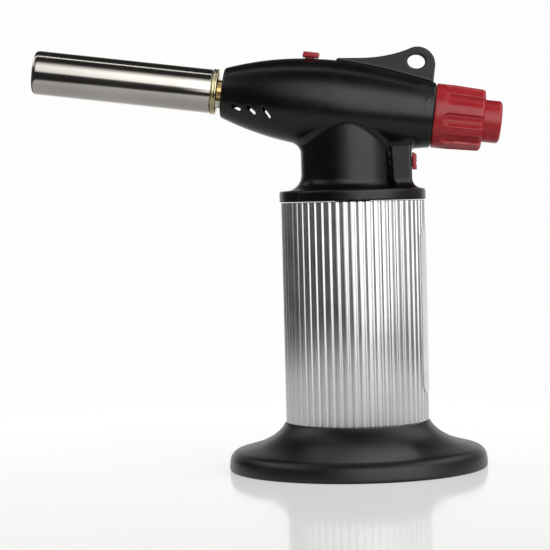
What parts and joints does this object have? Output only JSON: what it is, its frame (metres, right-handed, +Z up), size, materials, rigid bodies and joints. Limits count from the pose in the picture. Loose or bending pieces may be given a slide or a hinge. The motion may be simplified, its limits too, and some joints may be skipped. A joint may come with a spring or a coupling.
{
  "type": "butane torch",
  "caption": "Hand-held butane torch on a wide round base: ribbed grip with the fuel tank, two-part head, burner tube, flame knob with push igniter, lock slide and safety catch",
  "frame": {"origin": "On the surface that the torch stands on, under the middle of its bounding box, so the upright grip stands off the origin towards +X.", "axes": "+Z up; the burner points towards -X, 7.7 degrees upwards; the flame knob and the ignition button are at +X; the middle plane of the head is Y = 0."},
  "size_m": [0.1878, 0.103, 0.1696],
  "materials": {
    "black_plastic": "satin",
    "red_plastic": "satin",
    "ribbed_aluminium": "polished",
    "burner_steel": "polished",
    "nickel": "satin",
    "brass": "satin",
    "steel": "satin",
    "label_film": "satin",
    "tank_plastic": "satin",
    "seal_rubber": "matte",
    "ceramic": "matte",
    "piezo_case": "satin",
    "lead_sleeve": "matte"
  },
  "bodies": {
    "torch": {"base_foot": "black_plastic", "base_floor": "black_plastic", "base_cover": "black_plastic", "housing_near": "black_plastic", "housing_far": "black_plastic", "grip_sleeve": "ribbed_aluminium", "burner_tube": "burner_steel", "burner_ring": "nickel", "mixer_tube": "brass", "gas_jet": "brass", "gas_tube": "brass", "riser_tube": "brass", "valve_body": "brass", "filler_valve_body": "brass", "base_screw_1": "steel", "base_screw_2": "steel", "base_screw_3": "steel", "housing_screw_1": "steel", "housing_screw_2": "steel", "housing_screw_3": "steel", "housing_screw_4": "steel", "flame_holder": "steel", "electrode_wire": "steel", "catch_spring": "steel", "filler_spring": "steel", "rear_label": "label_film", "fuel_tank": "tank_plastic", "tank_lid": "tank_plastic", "fuel_pickup_tube": "tank_plastic", "tank_seal": "seal_rubber", "filler_seal": "seal_rubber", "electrode_insulator": "ceramic", "piezo_igniter": "piezo_case", "igniter_lead": "lead_sleeve"},
    "knob": {"flame_knob": "red_plastic", "knob_gear": "red_plastic"},
    "spindle": {"valve_spindle": "brass", "valve_pinion": "brass"},
    "button": {"ignition_button": "red_plastic", "piezo_plunger": "piezo_case", "button_spring": "steel"},
    "lock": {"lock_slide": "red_plastic"},
    "catch": {"safety_catch": "red_plastic"},
    "refill_stem": {"filler_stem": "brass"}
  },
  "joints": [
    {"name": "knob_turn", "type": "hinge", "parent": "torch", "child": "knob", "pos_m": [0.06648, 0, 0.13942], "axis": [0.991, 0, -0.134], "range_deg": [0, 270]},
    {"name": "spindle_turn", "type": "hinge", "parent": "torch", "child": "spindle", "pos_m": [0.03219, 0, 0.13508], "axis": [0.991, 0, -0.134], "range_deg": [-702, 0]},
    {"name": "ignition_press", "type": "slide", "parent": "torch", "child": "button", "axis": [-0.991, 0, 0.134], "range_m": [0, 0.004], "stiffness_N_per_m": 3000, "springref_m": -0.002},
    {"name": "lock_slide_travel", "type": "slide", "parent": "torch", "child": "lock", "axis": [0.991, 0, -0.134], "range_m": [0, 0.004]},
    {"name": "safety_catch_travel", "type": "slide", "parent": "torch", "child": "catch", "axis": [0, 0, -1], "range_m": [0, 0.0025], "stiffness_N_per_m": 800, "springref_m": -0.0015, "deforming": ["catch_spring"]},
    {"name": "refill_stem_travel", "type": "slide", "parent": "torch", "child": "refill_stem", "axis": [0, 0, 1], "range_m": [0, 0.0015], "stiffness_N_per_m": 2500, "springref_m": -0.001, "deforming": ["filler_spring"]}
  ],
  "couplings": [
    {"joint": "spindle_turn", "follows": "knob_turn", "ratio": -2.6}
  ]
}
